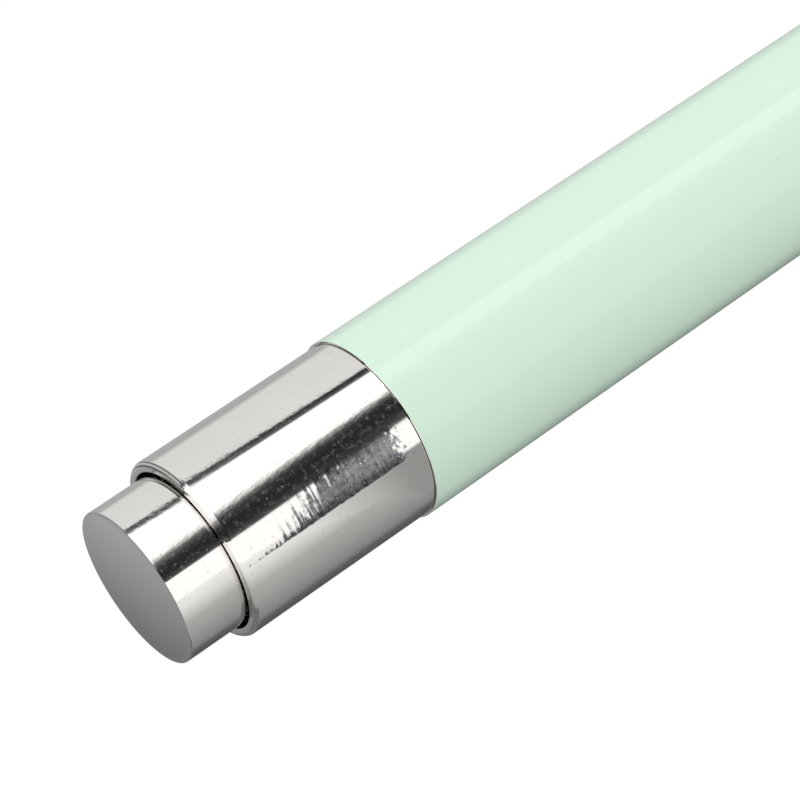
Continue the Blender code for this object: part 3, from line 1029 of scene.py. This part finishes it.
# a collar or groove is (rear, front, radius)
cartridgeLook = {
    "plugStem": 3.5, "plugCollar": (41.8, 42.8, 5.3), "plugBody": 4.75, "plugLead": 4.45, "leadLength": 0.3,
    "tube": 5.3, "tubeBore": 4.85,
    "filler": 4.7, "fillerEdge": 0.5,
    "holderBody": 4.75, "holderCollar": (101.3, 102.3, 5.35), "holderGroove": (126.0, 127.1, 3.2),
    "holderNeck": 3.6, "holderTip": 3.0, "tipLength": 2.2, "holderBore": 2.4,
    "sealRing": (126.55, 3.7, 0.4),
}


def makeTailPlug(look):
    rear, front = endsOf("tail_plug")
    body = look["plugBody"]
    stem = look["plugStem"]
    collarRear, collarFront, collar = look["plugCollar"]
    turned("tail_plug_moulded", "tail_plug", "cartridge", "grey", [
        (front, 0, 0), (front, look["plugLead"], 0.1), (front - look["leadLength"], body, 0.1),
        (collarFront, body, 0.03), (collarFront, collar, 0.12), (collarRear, collar, 0.12),
        (collarRear, stem, 0.1), (rear, stem, 0.4), (rear, 0, 0),
    ], closed=False, steps=innerSteps)


def makeInk(look):
    tube("ink_tube_extruded", "ink_tube", "cartridge", "tube", look["tube"], look["tubeBore"], 0.1, 0.1)
    rear, front = endsOf("ink_filler")
    turned("ink_filler_rod", "ink_filler", "cartridge", "felt", [
        (front, 0, 0), (front, look["filler"], look["fillerEdge"]),
        (rear, look["filler"], look["fillerEdge"]), (rear, 0, 0),
    ], closed=False, steps=innerSteps)


def makeNibHolder(look):
    rear, front = endsOf("nib_holder")
    body = look["holderBody"]
    neck = look["holderNeck"]
    bore = look["holderBore"]
    collarRear, collarFront, collar = look["holderCollar"]
    grooveRear, grooveFront, groove = look["holderGroove"]
    turned("nib_holder_moulded", "nib_holder", "cartridge", "grey", [
        (front, look["holderTip"], 0.2), (front - look["tipLength"], neck, 0.4), (grooveFront, neck, 0.06),
        (grooveFront, groove, 0.06), (grooveRear, groove, 0.06), (grooveRear, neck, 0.06),
        (collarFront, neck, 0.15), (collarFront, collar, 0.12), (collarRear, collar, 0.12),
        (collarRear, body, 0.05), (rear, body, 0.3), (rear, bore, 0.1), (front, bore, 0.15),
    ])


nibLook = {"wedge": 14.5, "slant": 30.0, "halfEdge": 0.9, "soften": 0.07, "crisp": 12}


def sliceOff(bm, point, normal):
    everything = bm.verts[:] + bm.edges[:] + bm.faces[:]
    cut = bmesh.ops.bisect_plane(bm, geom=everything, plane_co=point, plane_no=normal, clear_outer=True)
    rim = [item for item in cut["geom_cut"] if isinstance(item, bmesh.types.BMEdge)]
    bmesh.ops.holes_fill(bm, edges=rim)


def makeNib(look):
    rear, front = endsOf("nib")
    radius = radiusOf("nib")
    outline = [(rear, 0), (rear, radius), (front, radius), (front, 0)]
    bm = spun(outline, False, innerSteps)
    wedge = math.radians(look["wedge"])
    slant = math.radians(look["slant"])
    for side in (1, -1):
        edge = (at(front), side * look["halfEdge"] * mm, axisHeight)
        sliceOff(bm, edge, (math.sin(wedge), side * math.cos(wedge), 0))
    foot = (at(front), 0, axisHeight - radius * mm)
    sliceOff(bm, foot, (math.cos(slant), 0, math.sin(slant)))
    crisp = math.radians(look["crisp"])
    edges = [e for e in bm.edges if len(e.link_faces) == 2 and e.calc_face_angle() > crisp]
    bmesh.ops.bevel(bm, geom=edges, offset=look["soften"] * mm, segments=2, affect="EDGES")
    finishPiece("chisel_nib", meshFrom("chisel_nib", bm), "felt", "cartridge", "nib")


def makeRing(name, node, body, finish, station, radius, thickness, sides=20, steps=128):
    turns = [2 * math.pi * k / sides for k in range(sides)]
    points = [Vector((station + thickness * math.cos(t), radius + thickness * math.sin(t))) for t in turns]
    finishPiece(name, meshFrom(name, spun(points, True, steps)), finish, body, node, sharp=60)


makeTailPlug(cartridgeLook)
makeInk(cartridgeLook)
makeNibHolder(cartridgeLook)
makeNib(nibLook)
makeRing("holder_seal_ring", "holder_o_ring", "cartridge", "rubber", *cartridgeLook["sealRing"])
print("cartridge made")


# return spring

springLook = {
    "mean": 4.2, "wire": 0.28, "turns": 7, "perTurn": 40, "sides": 12, "travel": 4.5, "easing": 0.7,
}


def makeSpring(look):
    rear, front = endsOf("return_spring")
    start = rear + look["wire"]
    length = front - look["wire"] - start
    count = look["turns"] * look["perTurn"]
    bm = bmesh.new()
    rings = []
    for i in range(count + 1):
        part = i / count
        angle = 2 * math.pi * look["turns"] * part
        # the end turns lie close, so the pitch eases in and out
        eased = part - math.sin(2 * math.pi * part) / (2 * math.pi) * look["easing"]
        middle = ringPoint(start + length * eased, look["mean"], angle)
        outward = Vector((0, math.sin(angle), math.cos(angle)))
        ring = []
        for k in range(look["sides"]):
            turn = 2 * math.pi * k / look["sides"]
            wire = outward * math.cos(turn) + Vector((math.sin(turn), 0, 0))
            ring.append(bm.verts.new(middle + wire * look["wire"] * mm))
        rings.append(ring)
    joinRings(bm, rings, False)
    bm.faces.new(rings[0])
    bm.faces.new(rings[-1])
    spring = finishPiece("return_spring_wire", meshFrom("return_spring_wire", bm), "steel", "shell",
                         "return_spring", sharp=50)
    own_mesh(spring)


makeSpring(springLook)
print("spring wound")


# nose

noseLook = {
    "tipRadius": 4.6, "tipEdge": 0.4, "mouth": 3.3, "mouthWall": 0.5, "bore": 4.2, "springSeat": 121.8,
    "shank": 5.7, "shankBore": 4.85, "shoulderGap": 0.1,
    "groove": (109.55, 110.25, 5.2),      # rear, front, radius
    "taper": {"steps": 24, "first": 0.96, "span": 0.93, "power": 1.5},      # shares of the way to the tip
    "threadGap": 0.7, "ridges": 7,
    "thread": {"pitch": 0.8, "depth": -0.14, "profile": [(0, 0), (0.16, 1), (0.3, 1), (0.46, 0)]},
}

fittingsLook = {
    "trimBore": 5.8, "trimEdge": 0.25, "sealRing": (109.9, 5.47, 0.22),
    "washer": 4.75, "washerBore": 3.9, "retainerBore": 3.3, "edge": 0.08,
}


def makeTrimRing(look):
    tube("trim_ring_turned", "trim_ring", "nose_ring", "plate", barrelRadius, look["trimBore"],
         look["trimEdge"], 0.05, outerSteps)
    makeRing("nose_seal_ring", "nose_o_ring", "nose_ring", "rubber", *look["sealRing"])


def makeNoseCone(look):
    rear, tip = endsOf("nose_cone")
    shoulder = endsOf("trim_ring")[1] + look["shoulderGap"]
    shank = look["shank"]
    seat = look["springSeat"]
    wall = tip - look["mouthWall"]
    grooveRear, grooveFront, groove = look["groove"]
    shape = look["taper"]
    taper = []
    for i in range(shape["steps"]):
        part = shape["first"] - shape["span"] * i / (shape["steps"] - 1)
        radius = barrelRadius - (barrelRadius - look["tipRadius"]) * part ** shape["power"]
        taper.append((shoulder + (tip - look["tipEdge"] - shoulder) * part, radius, 0))
    thread = threadCorners(shoulder - look["threadGap"], look["ridges"], shank, look["thread"])
    turned("nose_cone_turned", "nose_cone", "nose", "plate", [
        (tip, look["mouth"], 0.08), (tip, look["tipRadius"] - 0.03, look["tipEdge"]), *taper,
        (shoulder, barrelRadius, 0.12), (shoulder, shank, 0.05), *thread, (grooveFront, shank, 0.05),
        (grooveFront, groove, 0.05), (grooveRear, groove, 0.05), (grooveRear, shank, 0.05),
        (rear, shank, 0.25), (rear, look["shankBore"], 0.15), (seat, look["shankBore"], 0.05),
        (seat, look["bore"], 0.05), (wall, look["bore"], 0.05), (wall, look["mouth"], 0.05),
    ])


def makeMouth(look):
    edge = look["edge"]
    tube("spring_washer_pressed", "spring_washer", "nose", "steel", look["washer"], look["washerBore"],
         edge, edge)
    tube("seal_retainer_moulded", "seal_retainer", "nose", "grey", radiusOf("seal_retainer"),
         look["retainerBore"], edge, 0.12)


# the lips flatten sideways, but stay inside the cone: so their ends stop short of its bore
lipLook = {"edge": 0.08, "end": 3.4, "rest": 3.05, "keep": 0.2, "steps": 64}


def makeLip(name, node, side, look):
    # half a disc: its straight side is the slit that the nib opens
    low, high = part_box(node)
    radius = (high.z - low.z) / 2
    slit = low.y if side > 0 else -high.y
    rear, front = endsOf(node)
    edge = look["edge"]
    bm = bmesh.new()
    rings = []
    for station, inset in ((rear, edge), (rear + edge, 0), (front - edge, 0), (front, edge)):
        reach = radius - inset * mm
        inner = slit + inset * mm
        end = (look["end"] - inset) * mm
        spread = math.asin(end / reach)
        turns = [-spread + 2 * spread * k / look["steps"] for k in range(look["steps"] + 1)]
        outline = [(reach * math.cos(turn), reach * math.sin(turn)) for turn in turns]
        outline += [(inner, end), (inner, -end)]
        rings.append([bm.verts.new((at(station), side * y, axisHeight + z)) for y, z in outline])
    joinRings(bm, rings, False)
    bm.faces.new(rings[0])
    bm.faces.new(rings[-1])
    lip = finishPiece(name, meshFrom(name, bm), "silicone", "nose", node)
    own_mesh(lip)


makeTrimRing(fittingsLook)
makeNoseCone(noseLook)
makeMouth(fittingsLook)
makeLip("seal_lip_left", "lip_left", 1, lipLook)
makeLip("seal_lip_right", "lip_right", -1, lipLook)
print("nose made")


# click parts keep their own shape and take a finer finish

clickFinishes = {"button_core": "white", "cam_housing": "grey", "cam_rotor": "white"}
for node, finish in clickFinishes.items():
    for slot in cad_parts[node].material_slots:
        slot.material = finishes[finish]
print("click parts finished:", len(clickFinishes))
